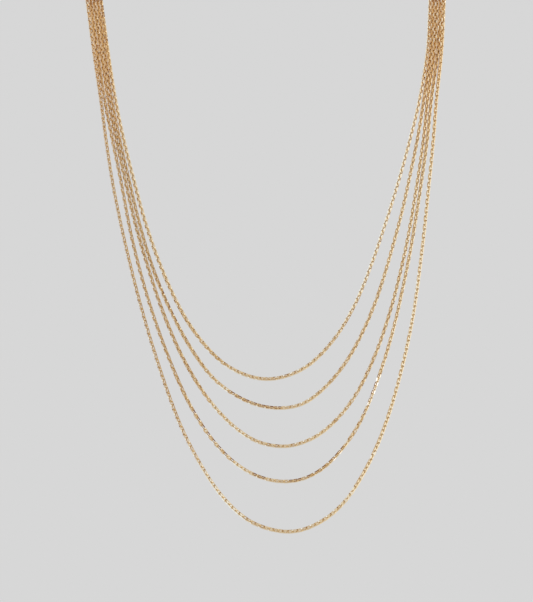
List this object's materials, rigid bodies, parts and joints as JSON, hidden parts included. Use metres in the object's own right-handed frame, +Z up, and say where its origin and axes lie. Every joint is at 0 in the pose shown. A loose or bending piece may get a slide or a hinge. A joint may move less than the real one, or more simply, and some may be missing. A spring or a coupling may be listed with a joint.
{
  "type": "multi strand necklace",
  "caption": "Necklace of fine gold chains of graded length that lie as a flat band round the neck and part into nested curves in front.",
  "frame": {"origin": "middle of the neck that the necklace is worn on, 50 mm in front of the clasp and 8 mm below it", "axes": "+Z up, +X to the right as seen from the front, the front faces -Y and the clasp is at the nape at +Y"},
  "size_m": [0.1117, 0.135, 0.1925],
  "materials": {
    "chain_gold": "polished",
    "clasp_gold": "polished"
  },
  "bodies": {
    "root": {"strand_1": "chain_gold", "strand_2": "chain_gold", "strand_3": "chain_gold", "strand_4": "chain_gold", "strand_5": "chain_gold", "clasp": "clasp_gold"}
  },
  "joints": []
}
